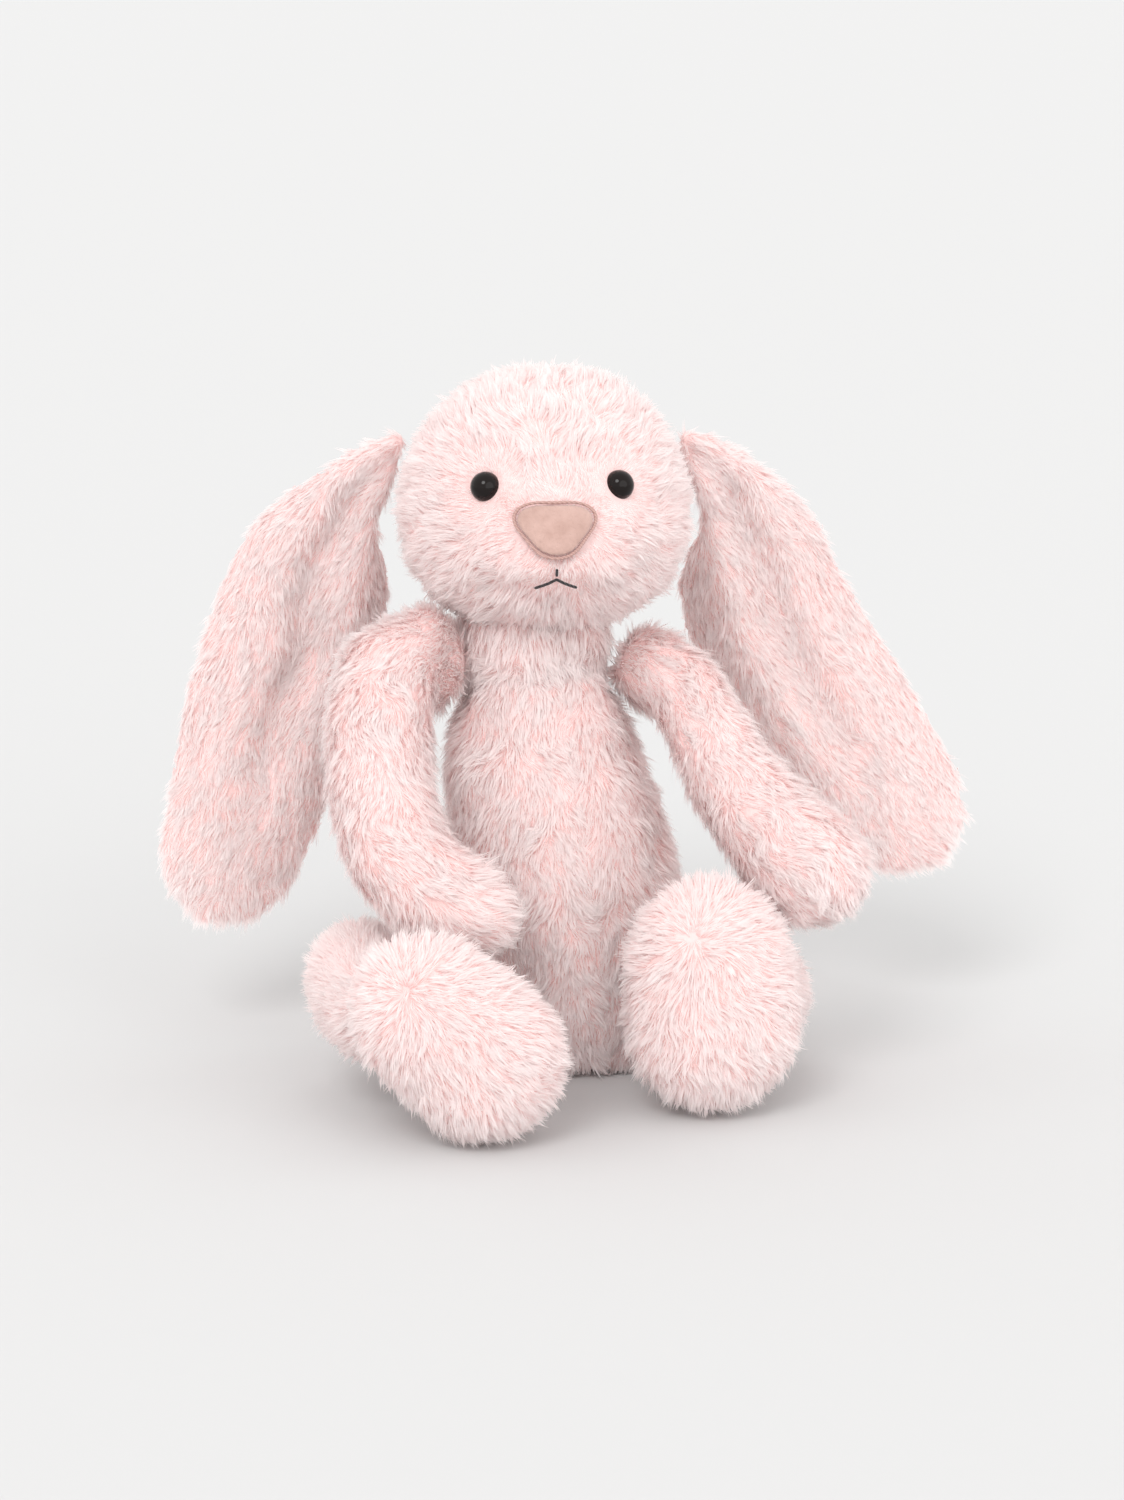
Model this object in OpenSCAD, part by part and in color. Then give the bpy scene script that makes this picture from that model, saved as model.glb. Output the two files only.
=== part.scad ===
// Seated stuffed bunny with long lop ears, sewn from long-pile plush.
// Millimetres, +Z up, the toy faces -Y. The origin is the middle of the flat seat, on the ground.
// Left and right are the toy's own, so its right arm is on the -X side.

/* [Torso] */
// Height of the neck joint above the seat
neck_z = 139; // [124:1:168]
// Half width of the torso at the belly
belly_w = 39; // [33:0.5:46]
// Half depth of the torso at the belly
belly_d = 37; // [33:0.5:44]
// How far the neck leans to the toy's right of the seat
lean = 16; // [0:1:18]

/* [Head] */
// Half width of the head at the cheeks
head_w = 47.5; // [41:0.5:57]
// Half depth of the head behind the muzzle
head_d = 44; // [38:0.5:52]
// Half height of the head
head_h = 43; // [38:0.5:52]
// How far the muzzle stands out of the head
muzzle = 13; // [8:0.5:18]
// Radius of the firm ball of filling in the neck
neck_ball_r = 15; // [12.5:0.5:16]
// Turn of the face to the toy's right
face_turn = 4; // [0:1:10]

/* [Face] */
// Diameter of each eye
eye_d = 9.5; // [8:0.5:11.5]
// Angle of each eye from the middle of the face
eye_angle = 28.5; // [26:0.5:33]
// Width of the nose patch
nose_w = 22.5; // [20:0.5:28]
// Height of the nose patch
nose_h = 14; // [13:0.5:18]
// Diameter of the mouth thread
mouth_thread_d = 1; // [0.8:0.1:1.3]

/* [Ears] */
// Length of each ear
ear_len = 176; // [140:1:190]
// Half width of the ear where it is broadest
ear_w = 29; // [24:0.5:33]
// Thickness of each of the ear's two plush panels
ear_panel = 4.2; // [3.4:0.1:5]

/* [Arms] */
// Radius of the arm at the shoulder
shoulder_r = 15; // [12.5:0.5:17]
// Radius of the arm at the paw
paw_r = 18.5; // [16:0.5:21]

/* [Legs] */
// Radius of the leg
leg_r = 18.5; // [16:0.5:20]
// Length of the foot from heel to toe
foot_len = 77; // [66:1:88]
// Half width of the foot
foot_w = 26; // [22.5:0.5:30]
// Half thickness of the foot from sole to instep
foot_t = 20; // [17.5:0.5:23]

/* [Tail] */
// Radius of the round tail
tail_r = 20; // [16.5:0.5:24]

/* [Cloth and filling] */
// Thickness of the plush, backing and pile together
plush = 5; // [4:0.5:6]
// Clearance between pieces that touch on the real toy
gap = 0.3; // [0.3:0.05:0.5]
// How deep each limb is sewn into the torso
sewn_in = 3; // [2:0.25:3.5]
// Diameter of the pouch of beads in the seat
pouch_d = 46; // [38:1:48]
// Diameter of each plastic bead
bead_d = 5; // [4:0.25:6]

/* [Hidden] */

plush_pink = [0.97, 0.80, 0.79];
filling_white = [0.96, 0.96, 0.94];

sides = 20;      // corners round a lofted ring
steps = 16;      // rings along a loft
limb_gap = 3 * gap;
filling_gap = 0.8;   // between a stuffed limb's cover and its filling
across = 8;      // points over half of an ear's panel

/* ---- curves and lofts ---- */

function unit(v) = v / norm(v);
function mix(a, b, f) = a + (b - a) * f;

// Smooth curve through a list of points or numbers, f from 0 to 1.
function along(list, f) =
    let (
        n = len(list) - 1,
        s = min(max(f * n, 0), n - 0.000001),
        i = floor(s),
        u = s - i,
        a = list[max(i - 1, 0)],
        b = list[i],
        c = list[i + 1],
        d = list[min(i + 2, n)]
    )
    0.5 * (
        2 * b
        + (c - a) * u
        + (2 * a - 5 * b + 4 * c - d) * u * u
        + (3 * b - a - 3 * c + d) * u * u * u
    );

// Running length of a chain of points.
function run_lengths(p, i = 1, sum = [0]) =
    i == len(p) ? sum :
    run_lengths(p, i + 1, concat(sum, [sum[i - 1] + norm(p[i] - p[i - 1])]));

function tangent(p, i) = unit(p[min(i + 1, len(p) - 1)] - p[max(i - 1, 0)]);

// Side vectors that follow a chain of points without twisting.
function carried(p, first, i = 0, found = []) =
    i == len(p) ? found :
    let (t = tangent(p, i), last = i == 0 ? first : found[i - 1])
    carried(p, first, i + 1, concat(found, [unit(last - t * (last * t))]));

function reversed(list) = [for (i = [len(list) - 1:-1:0]) list[i]];

// Even in the middle and close together at both ends, where the domes are.
function eased(i, n) = (1 - cos(180 * i / n)) / 2;

// Height of a dome of radius r at a distance s from its pole, as a share of r.
function dome(s, r) = s >= r ? 1 : sqrt(max(1 - pow(1 - max(s, 0) / r, 2), 0.0004));

// Rings of a stuffed limb. Radii are listed from root to tip, flat is depth over width.
function limb_rings(path, radii, side, flat = 1, shrink = 0, n = steps) =
    let (
        p = [for (i = [0:n]) along(path, eased(i, n))],
        s = run_lengths(p),
        total = s[n],
        u = carried(p, side)
    )
    [for (i = [0:n])
        let (
            r = along(radii, s[i] / total),
            root = radii[0],
            tip = radii[len(radii) - 1],
            rr = r * min(dome(s[i], root), dome(total - s[i], tip)),
            k = max(1 - shrink / r, 0.05),
            t = tangent(p, i),
            v = cross(t, u[i]),
            // a shrunk loft keeps its poles inside the full one by moving them in along the path
            inward = (i < n / 2 ? 1 : -1) * shrink * pow(abs(2 * s[i] / total - 1), 4),
            centre = p[i] + t * inward
        )
        [for (j = [0:sides - 1])
            let (turn = 360 * j / sides)
            centre + (u[i] * cos(turn) + v * flat * sin(turn)) * rr * k
        ]
    ];

// A closed solid over a stack of rings, with a point in the middle of each end.
module stack(rings) {
    m = len(rings[0]);
    n = len(rings);
    middle = function (r) [for (k = [0:2]) [for (q = r) 1] * [for (q = r) q[k]] / m];
    points = concat([for (r = rings) each r], [middle(rings[0]), middle(rings[n - 1])]);
    wall = [for (i = [0:n - 2], j = [0:m - 1])
        let (a = i * m + j, b = i * m + (j + 1) % m)
        each [[a, a + m, b + m], [a, b + m, b]]
    ];
    ends = [for (j = [0:m - 1])
        each [[n * m, j, (j + 1) % m], [n * m + 1, (n - 1) * m + (j + 1) % m, (n - 1) * m + j]]
    ];
    polyhedron(points, concat(wall, ends));
}

// A cover sewn as a bag: the outer rings from the mouth to the far end, and the inner ones back.
module bag(outer, inner, mouth) {
    n = len(outer) - 1;
    stack(concat([for (i = [n:-1:mouth]) inner[i]], [for (i = [mouth:n]) outer[i]]));
}

/* ---- torso ---- */

// Half width and half depth of the torso from the seat to the neck, as shares of the belly's.
torso_shape = [
    [0.72, 0.74], [0.93, 0.97], [0.99, 1.02], [1, 1],
    [0.93, 0.93], [0.82, 0.81], [0.7, 0.69], [0.57, 0.56]
];
lean_bend = 1.15;           // how much more the torso leans near the neck
neck_back = 4;              // how far the neck lies behind the seat
function torso_share(z) = min(max(z / neck_z, 0), 1);
function torso_half(z) =
    let (q = along(torso_shape, torso_share(z))) [q[0] * belly_w, q[1] * belly_d];
function torso_axis(z) =
    let (f = torso_share(z)) [-lean * pow(f, lean_bend), neck_back * f, z];

function torso_rings(shrink = 0, floor_z = 0, top_z = neck_z) =
    [for (i = [0:steps])
        let (
            f = i / steps,
            z = mix(floor_z, top_z, f),
            c = torso_axis(z),
            h = torso_half(z)
        )
        [for (j = [0:sides - 1])
            let (turn = 360 * j / sides)
            c + [(h[0] - shrink) * cos(turn), (h[1] - shrink) * sin(turn), 0]
        ]
    ];

neck = torso_axis(neck_z);

shoulder_drop = 10;         // the shoulders' pivots below the neck's
shoulder_z = neck_z - shoulder_drop;
hip_rise = 3;               // from the ground to the underside of the leg's root
hip_z = leg_r + hip_rise;
hip_y = -6;
// Pivot of a limb whose round root is sewn some way into the torso's side.
function side_pivot(side, z, r, y, deep) =
    let (c = torso_axis(z), h = torso_half(z))
    [c[0] + side * (h[0] * sqrt(1 - pow((y - c[1]) / h[1], 2)) + r - deep), y, z];

right_shoulder = side_pivot(-1, shoulder_z, shoulder_r, 0, sewn_in);
left_shoulder = side_pivot(1, shoulder_z, shoulder_r, 0, sewn_in);
right_hip = side_pivot(-1, hip_z, leg_r, hip_y, 2 * sewn_in);
left_hip = side_pivot(1, hip_z, leg_r, hip_y, 2 * sewn_in);

tail_rise = 6;              // from the ground to the underside of the tail
tail_z = tail_r + tail_rise;
tail_centre =
    let (c = torso_axis(tail_z), h = torso_half(tail_z))
    [c[0], c[1] + h[1] + tail_r - sewn_in, tail_z];

module hip_hollows() {
    translate(right_hip) sphere(leg_r + limb_gap, $fn = 64);
    translate(left_hip) sphere(leg_r + limb_gap, $fn = 64);
}

// The hollows in the torso's cover where the limbs, tail and neck are sewn on.
module torso_seams() {
    translate(neck) sphere(neck_ball_r + gap, $fn = 64);
    translate(right_shoulder) sphere(shoulder_r + limb_gap, $fn = 64);
    translate(left_shoulder) sphere(shoulder_r + limb_gap, $fn = 64);
    hip_hollows();
    translate(tail_centre) sphere(tail_r + gap, $fn = 64);
}

module torso_cover() {
    color(plush_pink)
    difference() {
        stack(concat(torso_rings(), reversed(torso_rings(plush, plush, neck_z))));
        torso_seams();
    }
}

pouch_r = pouch_d / 2;
pouch_slack = 5;            // height in the pouch over its two layers of beads
pouch_h = bead_d * 2 + pouch_slack;
pouch_wall = 1;
pouch_z = plush + gap;

module torso_filling() {
    color(filling_white)
    difference() {
        stack(torso_rings(plush + gap, plush + gap, neck_z));
        translate(neck) sphere(neck_ball_r + gap, $fn = 64);
        hip_hollows();
        translate([0, 0, -1]) cylinder(h = pouch_z + pouch_h + gap + 1, r = pouch_r + gap, $fn = 64);
    }
}

// Round flat pouch with rounded edges.
module pouch_solid(r, h) {
    edge = min(h / 2 - 0.01, 4);
    rotate_extrude($fn = 64)
    union() {
        square([r - edge, h]);
        translate([0, edge]) square([r, h - 2 * edge]);
        translate([r - edge, edge]) circle(edge, $fn = 32);
        translate([r - edge, h - edge]) circle(edge, $fn = 32);
    }
}

module bead_pouch() {
    color("white")
    translate([0, 0, pouch_z])
    difference() {
        pouch_solid(pouch_r, pouch_h);
        translate([0, 0, pouch_wall]) pouch_solid(pouch_r - pouch_wall, pouch_h - 2 * pouch_wall);
    }
}

bead_pitch = bead_d + gap;

module bead_filling() {
    color([0.9, 0.9, 0.85])
    for (layer = [0, 1], i = [-6:6], j = [-6:6]) {
        x = (i + j / 2 + layer / 2) * bead_pitch;
        y = (j + layer / 3) * bead_pitch * sqrt(3) / 2;
        if (norm([x, y]) < pouch_r - pouch_wall - bead_d / 2 - 3)
            translate([x, y, pouch_z + pouch_wall + gap + bead_d / 2 + layer * bead_pitch * 0.85])
            sphere(bead_d / 2, $fn = 24);
    }
}

/* ---- head ---- */

head_gap = 1.8;             // between the torso's top and the head, bridged by the neck's ball
head_shift = [4, 2];        // middle of the head across and behind the neck's
head_centre = neck + [head_shift[0], head_shift[1], head_h + head_gap];
muzzle_z = -10;          // middle of the muzzle below the middle of the head
muzzle_half_angle = 34;
muzzle_half_height = 17;
head_square = 0.85;         // under 1 the head is fuller than a ball
head_narrow = 0.08;         // how much narrower its top is than its bottom
head_pole = 86;             // angle at which the rings stop, short of the poles

// Width of the head at an angle above its middle, as a share of its widest.
function head_share(lift) = pow(max(cos(lift), 0.001), head_square) * (1 - head_narrow * sin(lift));

// How far the muzzle stands out at an angle from the face and a height.
function muzzle_out(angle, z) =
    muzzle * exp(-pow(angle / muzzle_half_angle, 2) - pow((z - muzzle_z) / muzzle_half_height, 2));

// Distance of the head's surface from its upright axis, at an angle from the face and a height.
function head_point(angle, lift, shrink = 0) =
    let (
        c = head_share(lift),
        z = (head_h - shrink) * sin(lift),
        bump = muzzle_out(angle, z),
        x = (head_w - shrink) * c * sin(angle),
        y = -((head_d - shrink) * c) * cos(angle) - bump * cos(angle) * min(1, c * 2)
    )
    [x, y, z];

function signed(a) = a > 180 ? a - 360 : a;

head_sides = 28;
head_steps = 18;
function head_rings(shrink = 0) =
    [for (i = [0:head_steps])
        let (lift = -90 + 180 * i / head_steps, l = min(max(lift, -head_pole), head_pole))
        [for (j = [0:head_sides - 1]) head_point(signed(360 * j / head_sides), l, shrink)]
    ];

module on_head() translate(head_centre) rotate([0, 0, -face_turn]) children();

module neck_hollow() translate(neck) sphere(neck_ball_r + gap, $fn = 64);

ear_lift = 22;              // angle of the ear's root above the middle of the head
ear_root_angle = 104;       // and round from the middle of the face
ear_root_r = 5;
ear_sewn_in = 0.2;

module head_cover() {
    color(plush_pink)
    difference() {
        on_head() stack(head_rings());
        on_head() stack(head_rings(plush));
        neck_hollow();
        on_head() face_seats();
        on_head() nose_seat();
        ear_hollows();
    }
}

module head_filling() {
    color(filling_white)
    difference() {
        on_head() stack(head_rings(plush + gap));
        neck_hollow();
        on_head() eye_backs();
    }
}

module neck_filling() {
    color(filling_white) translate(neck) sphere(neck_ball_r, $fn = 64);
}

/* ---- eyes, nose and mouth ---- */

eye_lift = 14.5;
eye_outward = 0.8;          // share of the face's turn that the eye looks round
eye_upward = 0.1;
eye_proud = 2.4;            // how far the dome stands out of the plush
shank_r = 1.6;
washer_r = 5;
washer_t = 1;
washer_sunk = 3.9;          // from the back of the plush to the far side of the washer
washer_deep = plush + washer_sunk;   // from the plush's surface to the far side of the washer
shank_end = 1.6;            // of the shank behind the washer
shank_len = washer_deep + shank_end;

// Puts children on the face, with their +Z out of the head.
module at_eye(side) {
    p = head_point(side * eye_angle, eye_lift);
    out = [sin(side * eye_angle) * eye_outward, -1, eye_upward];
    translate(p) rotate([0, acos(out[2] / norm(out)), atan2(out[1], out[0])]) children();
}

module eye_body(d) {
    r = d / 2;
    rotate_extrude($fn = 64)
    intersection() {
        translate([0, eye_proud - r]) circle(r, $fn = 64);
        translate([0, -plush]) square([r, 2 * r + plush]);
    }
}

module eye(side) {
    color([0.05, 0.04, 0.04])
    on_head() at_eye(side) {
        eye_body(eye_d);
        translate([0, 0, -shank_len]) cylinder(h = shank_len - eye_d / 2, r = shank_r, $fn = 32);
    }
}

module eye_washer(side) {
    color([0.9, 0.9, 0.88])
    on_head() at_eye(side) translate([0, 0, -washer_deep])
    difference() {
        cylinder(h = washer_t, r = washer_r, $fn = 48);
        translate([0, 0, -1]) cylinder(h = washer_t + 2, r = shank_r + 0.05, $fn = 32);
    }
}

// What the cover gives up to the eyes.
module face_seats() {
    for (side = [-1, 1]) at_eye(side) {
        translate([0, 0, -plush * 3]) cylinder(h = plush * 4, r = shank_r + gap, $fn = 32);
        translate([0, 0, eye_proud - eye_d / 2]) sphere(eye_d / 2 + gap, $fn = 48);
    }
}

// What the filling gives up to the shanks and washers.
module eye_backs() {
    for (side = [-1, 1]) at_eye(side)
        translate([0, 0, -shank_len - gap]) cylinder(h = shank_len, r = washer_r + gap, $fn = 48);
}

// Front of the face at a place across and up from the middle of the head.
function face(x, z) =
    let (lift = asin(z / head_h))
    head_point(asin(x / (head_w * head_share(lift))), lift);

nose_z = 0.5;                // middle of the nose above the middle of the head
nose_sides = 30;
nose_point = 0.13;          // how far the corners stand out of a plain oval
nose_sunk = 1.2;            // how deep the nose patch and its thread sit in the plush
nose_proud = 1.6;
edge_thread_r = 0.6;
edge_room = edge_thread_r + gap;

// Rounded triangle with its point down: a place on it at a share of its size, grown by an even rim.
function nose_place(turn, share, rim = 0) =
    let (
        reach = 1 + nose_point * cos(3 * (turn + 90)),
        x = (nose_w / 2 * share + rim) * reach * cos(turn),
        z = (nose_h / 2 * share + rim) * reach * sin(turn) + nose_z
    )
    [x, z];

// Ring on the face, raised by a height.
function nose_ring(share, height, rim = 0) =
    [for (j = [0:nose_sides - 1])
        let (q = nose_place(360 * j / nose_sides, share, rim)) face(q[0], q[1]) - [0, height, 0]
    ];

module nose_patch() {
    color([0.90, 0.68, 0.65])
    on_head() stack([
        for (share = [0.25, 0.6, 1]) nose_ring(share, -nose_sunk),
        for (share = [1, 0.9, 0.65, 0.3]) nose_ring(share, nose_proud * sqrt(1 - 0.8 * share * share))
    ]);
}

// Thread round a closed line of points on the face.
module nose_edge_thread() {
    line = nose_ring(1, 0, edge_room);
    m = 8;
    points = [for (p = line, k = [0:m - 1])
        let (out = unit([p[0], 0, p[2] - nose_z]))
        p + edge_thread_r * (out * cos(360 * k / m) - [0, 1, 0] * sin(360 * k / m))
    ];
    faces = [for (i = [0:nose_sides - 1], k = [0:m - 1])
        let (a = i * m + k, b = i * m + (k + 1) % m, c = ((i + 1) % nose_sides) * m)
        each [[a, b, c + (k + 1) % m], [a, c + (k + 1) % m, c + k]]
    ];
    color([0.86, 0.62, 0.60]) on_head() polyhedron(points, faces);
}

module nose_seat() {
    rim = edge_room + edge_thread_r + gap;
    stack([nose_ring(1, -nose_sunk - gap, rim), nose_ring(1, nose_proud + 8, rim)]);
}

mouth_z = -15;              // top of the mouth below the middle of the head
mouth_w = 6.5;              // reach of each half of the mouth
mouth_drop = 3.6;
mouth_tick = 2.4;

function on_face(x, z) = face(x, z) - [0, mouth_thread_d / 2 + gap, 0];

// Thread laid over the face through a list of places.
module face_thread(places) {
    p = [for (q = places) on_face(q[0], q[1])];
    n = len(p) - 1;
    u = carried(p, unit(cross(tangent(p, 0), [0, 1, 0])));
    m = 8;
    stack([for (i = [0:n])
        let (v = cross(tangent(p, i), u[i]))
        [for (k = [0:m - 1]) p[i] + mouth_thread_d / 2 * (u[i] * cos(360 * k / m) + v * sin(360 * k / m))]
    ]);
}

module mouth_thread() {
    color([0.08, 0.07, 0.07])
    on_head() {
        face_thread([for (f = [-1:0.2:1]) [mouth_w * f, mouth_z - mouth_drop * pow(abs(f), 0.8)]]);
        face_thread([for (f = [0:0.5:1]) [0, mouth_z + mouth_thread_d + mouth_tick * f]]);
    }
}

/* ---- ears ---- */

ear_hang_right = [36, 16, 18, 16, 25];  // angle of each fifth of the ear from straight down
ear_hang_left = [39, 16, 32, 34, 34];
ear_back = 22;                          // how far the middle of a hanging ear falls behind its root
ear_bow = 150;                          // angle of the bow that its middle makes
ear_steps = 16;
ear_start = 0.02;                       // where down the ear its panels begin
ear_front_first = 2;                    // the front panel leaves out the first rings, in the gathered root

function ear_pivot(side) =
    let (
        a = side * ear_root_angle,
        p = head_point(a, ear_lift),
        out = unit([sin(a), -cos(a), 0.2]),
        q = p + out * (ear_root_r - ear_sewn_in),
        c = cos(face_turn),
        s = -sin(face_turn)
    )
    head_centre + [q[0] * c - q[1] * s, q[0] * s + q[1] * c, q[2]];

// Chain of points down the ear's middle, one after each fifth of its length.
function ear_chain(side, hang, i = 0, found = []) =
    i > 5 ? found :
    let (
        last = i == 0 ? ear_pivot(side) : found[i - 1],
        step = i == 0 ? 0 : ear_len / 5,
        a = hang[max(i - 1, 0)],
        fall = i == 0 ? 0 : ear_back * (sin(ear_bow * i / 5) - sin(ear_bow * (i - 1) / 5))
    )
    ear_chain(side, hang, i + 1, concat(found, [last + [side * step * sin(a), fall, -step * cos(a)]]));

ear_width = [0.18, 0.54, 1.0, 1.1, 1.07, 1, 0.88, 0.66];  // shares of the half width down the ear
ear_fold = [130, 84, 54, 44, 38, 32, 26, 20];               // half angle of the ear's cup down the ear

// One panel of an ear: from..to is its place through the ear's thickness.
module ear_panel_solid(side, hang, from, to, first) {
    chain = ear_chain(side, hang);
    n = ear_steps;
    line = [for (i = [0:n]) along(chain, mix(ear_start, 0.995, i / n))];
    u = carried(line, unit([side * cos(hang[0]), 0, sin(hang[0])]));
    sheet = function (depth)
        [for (i = [first:n])
            let (
                f = mix(ear_start, 1, i / n),
                w = ear_w * along(ear_width, f) * dome((1 - f) * ear_len, ear_w * 0.8),
                a = along(ear_fold, f),
                r = w / (a * PI / 180),
                front = cross(u[i], tangent(line, i)) * side
            )
            [for (j = [-across:across])
                let (
                    t = j / across,
                    thin = 0.3 + 0.7 * sqrt(1 - 0.96 * t * t) * min(1, dome((1 - f) * ear_len, 9) + 0.2),
                    rr = r - depth * thin
                )
                line[i] + u[i] * rr * sin(a * t) + front * (r - rr * cos(a * t))
            ]
        ];
    slab(sheet(side > 0 ? from : to), sheet(side > 0 ? to : from));
}

// Closed solid between two grids of points.
module slab(low, high) {
    n = len(low) - 1;
    m = len(low[0]);
    size = (n + 1) * m;
    points = concat([for (r = low) each r], [for (r = high) each r]);
    end = m - 1;
    at = function (i, j, top) (top ? size : 0) + i * m + j;
    quad = function (a, b, c, d) [[a, b, c], [a, c, d]];
    faces = concat(
        [for (i = [0:n - 1], j = [0:m - 2])
            each quad(at(i, j, false), at(i, j + 1, false), at(i + 1, j + 1, false), at(i + 1, j, false))],
        [for (i = [0:n - 1], j = [0:m - 2])
            each quad(at(i, j, true), at(i + 1, j, true), at(i + 1, j + 1, true), at(i, j + 1, true))],
        [for (i = [0:n - 1])
            each quad(at(i, 0, false), at(i + 1, 0, false), at(i + 1, 0, true), at(i, 0, true))],
        [for (i = [0:n - 1])
            each quad(at(i, end, false), at(i, end, true), at(i + 1, end, true), at(i + 1, end, false))],
        [for (j = [0:m - 2])
            each quad(at(0, j, false), at(0, j, true), at(0, j + 1, true), at(0, j + 1, false))],
        [for (j = [0:m - 2])
            each quad(at(n, j, false), at(n, j + 1, false), at(n, j + 1, true), at(n, j, true))]
    );
    polyhedron(points, faces);
}

module ear_back_panel(side, hang) {
    color(plush_pink) {
        ear_panel_solid(side, hang, -ear_panel - gap / 2, -gap / 2, 0);
        translate(ear_pivot(side)) sphere(ear_root_r, $fn = 48);
    }
}

module ear_front_panel(side, hang) {
    color(plush_pink)
    ear_panel_solid(side, hang, gap / 2, ear_panel + gap / 2, ear_front_first);
}

module ear_hollows() {
    for (side = [-1, 1]) translate(ear_pivot(side)) sphere(ear_root_r + gap, $fn = 48);
}

/* ---- arms ---- */

// Routes from the shoulder's pivot, and the radius of the arm along them.
right_arm_route = [
    [12, 1, -8], [0, 0, 0], [-12, -10, 6], [-18, -23, -10],
    [-18, -36, -34], [-10, -47, -54], [8, -54, -64], [24, -56, -64]
];
left_arm_route = [
    [-12, 4, 5], [0, 0, 0], [11, -15, -7], [18, -28, -25],
    [32, -40, -42], [45, -50, -53], [58, -56, -67]
];

// A limb's route starts straight, so that its round end is centred on the pivot.
function rooted(pivot, list, r) =
    let (inward = unit(list[0]))
    concat([pivot + inward * r, pivot + inward * r / 2], [for (q = list) if (q != list[0]) pivot + q]);

right_arm_radii = [
    shoulder_r, shoulder_r, mix(shoulder_r, paw_r, 0.8), paw_r, paw_r, paw_r, paw_r,
    paw_r * 0.95, paw_r * 0.87
];
left_arm_radii = [
    shoulder_r, shoulder_r, shoulder_r * 0.95, mix(shoulder_r, paw_r, 0.3),
    mix(shoulder_r, paw_r, 0.75), paw_r, paw_r * 0.92
];

module limb_cover(path, radii, side, flat = 1, mouth = 2) {
    color(plush_pink)
    bag(limb_rings(path, radii, side, flat), limb_rings(path, radii, side, flat, plush), mouth);
}

module limb_filling(path, radii, side, flat = 1) {
    color(filling_white)
    stack(limb_rings(path, radii, side, flat, plush + filling_gap));
}

right_arm = rooted(right_shoulder, right_arm_route, shoulder_r);
left_arm = rooted(left_shoulder, left_arm_route, shoulder_r);

/* ---- legs and feet ---- */

right_leg_route = [[12, 2, -2], [0, 0, 0], [-16, -14, 7], [-23, -34, 12], [-18, -66, 10]];
left_leg_route = [[-12, 2, -2], [0, 0, 0], [5, -12, 3], [3, -24, 7], [-6, -43, 12]];
leg_radii = [leg_r, leg_r * 0.96, leg_r * 1.06, leg_r, leg_r * 0.86];

right_leg = rooted(right_hip, right_leg_route, leg_r);
left_leg = rooted(left_hip, left_leg_route, leg_r);

// Middle of the round end of a leg, which is sewn into its foot.
function leg_end(path) =
    let (n = len(path) - 1, back = unit(path[n - 1] - path[n])) path[n] + back * leg_radii[4];

right_foot_middle = [-52, -87, 35];
left_foot_middle = [30.5, -65, 39];
right_foot_axis = unit([-0.70, 0.02, 0.68]);   // from heel to toe
left_foot_axis = unit([-0.04, 0.14, 0.98]);
foot_radii = [foot_w * 0.95, foot_w * 1.02, foot_w, foot_w * 0.92, foot_w * 0.76];

function foot_path(middle, axis) = [for (f = [-0.5:0.25:0.5]) middle + axis * foot_len * f];

module foot_hollow(path) {
    translate(leg_end(path)) sphere(leg_radii[4] + gap, $fn = 48);
}

// A foot lying along an axis from heel to toe, spread is how much wider it is pressed.
module foot_solid(middle, axis, side, spread, shrink = 0) {
    flat = foot_t / foot_w / spread;
    stack(limb_rings(foot_path(middle, axis), foot_radii * spread, side, flat, shrink));
}

module foot_cover(middle, axis, side, spread, leg) {
    color(plush_pink)
    difference() {
        foot_solid(middle, axis, side, spread);
        foot_solid(middle, axis, side, spread, plush);
        foot_hollow(leg);
    }
}

module foot_filling(middle, axis, side, spread, leg) {
    color(filling_white)
    difference() {
        foot_solid(middle, axis, side, spread, plush + filling_gap);
        foot_hollow(leg);
    }
}

right_foot_spread = 1.03;
left_foot_spread = 1.11;
right_foot_side = unit(cross(right_foot_axis, [0, 1, 0]));
left_foot_side = unit(cross(left_foot_axis, [0, 1, 0]));

module right_foot_cover() {
    foot_cover(right_foot_middle, right_foot_axis, right_foot_side, right_foot_spread, right_leg);
}

module right_foot_filling() {
    foot_filling(right_foot_middle, right_foot_axis, right_foot_side, right_foot_spread, right_leg);
}

module left_foot_cover() {
    foot_cover(left_foot_middle, left_foot_axis, left_foot_side, left_foot_spread, left_leg);
}

module left_foot_filling() {
    foot_filling(left_foot_middle, left_foot_axis, left_foot_side, left_foot_spread, left_leg);
}

/* ---- tail and label ---- */

tail_mouth_r = 6;

module tail_cover() {
    color(plush_pink)
    translate(tail_centre)
    rotate([-90, 0, 0])
    rotate_extrude($fn = 96)
    difference() {
        circle(tail_r, $fn = 96);
        circle(tail_r - plush, $fn = 96);
        translate([-tail_r, -tail_r]) square([tail_r, 2 * tail_r]);
        translate([0, -tail_r]) square([tail_mouth_r, tail_r]);
    }
}

module tail_filling() {
    color(filling_white) translate(tail_centre) sphere(tail_r - plush - gap, $fn = 64);
}

label_w = 14;
label_len = 22;
label_t = 0.8;
label_angle = 52;           // round the torso's back from the middle
label_z = 26;
label_tilt = 8;             // how far its free end stands off the torso
label_room = gap + 0.4;

module care_label() {
    c = torso_axis(label_z);
    h = torso_half(label_z);
    color("white")
    translate([c[0] + h[0] * sin(label_angle), c[1] + h[1] * cos(label_angle), label_z])
    rotate([0, 0, -label_angle])
    rotate([-label_tilt, 0, 0])
    translate([-label_w / 2, label_room, -label_len])
    cube([label_w, label_t, label_len]);
}

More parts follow.
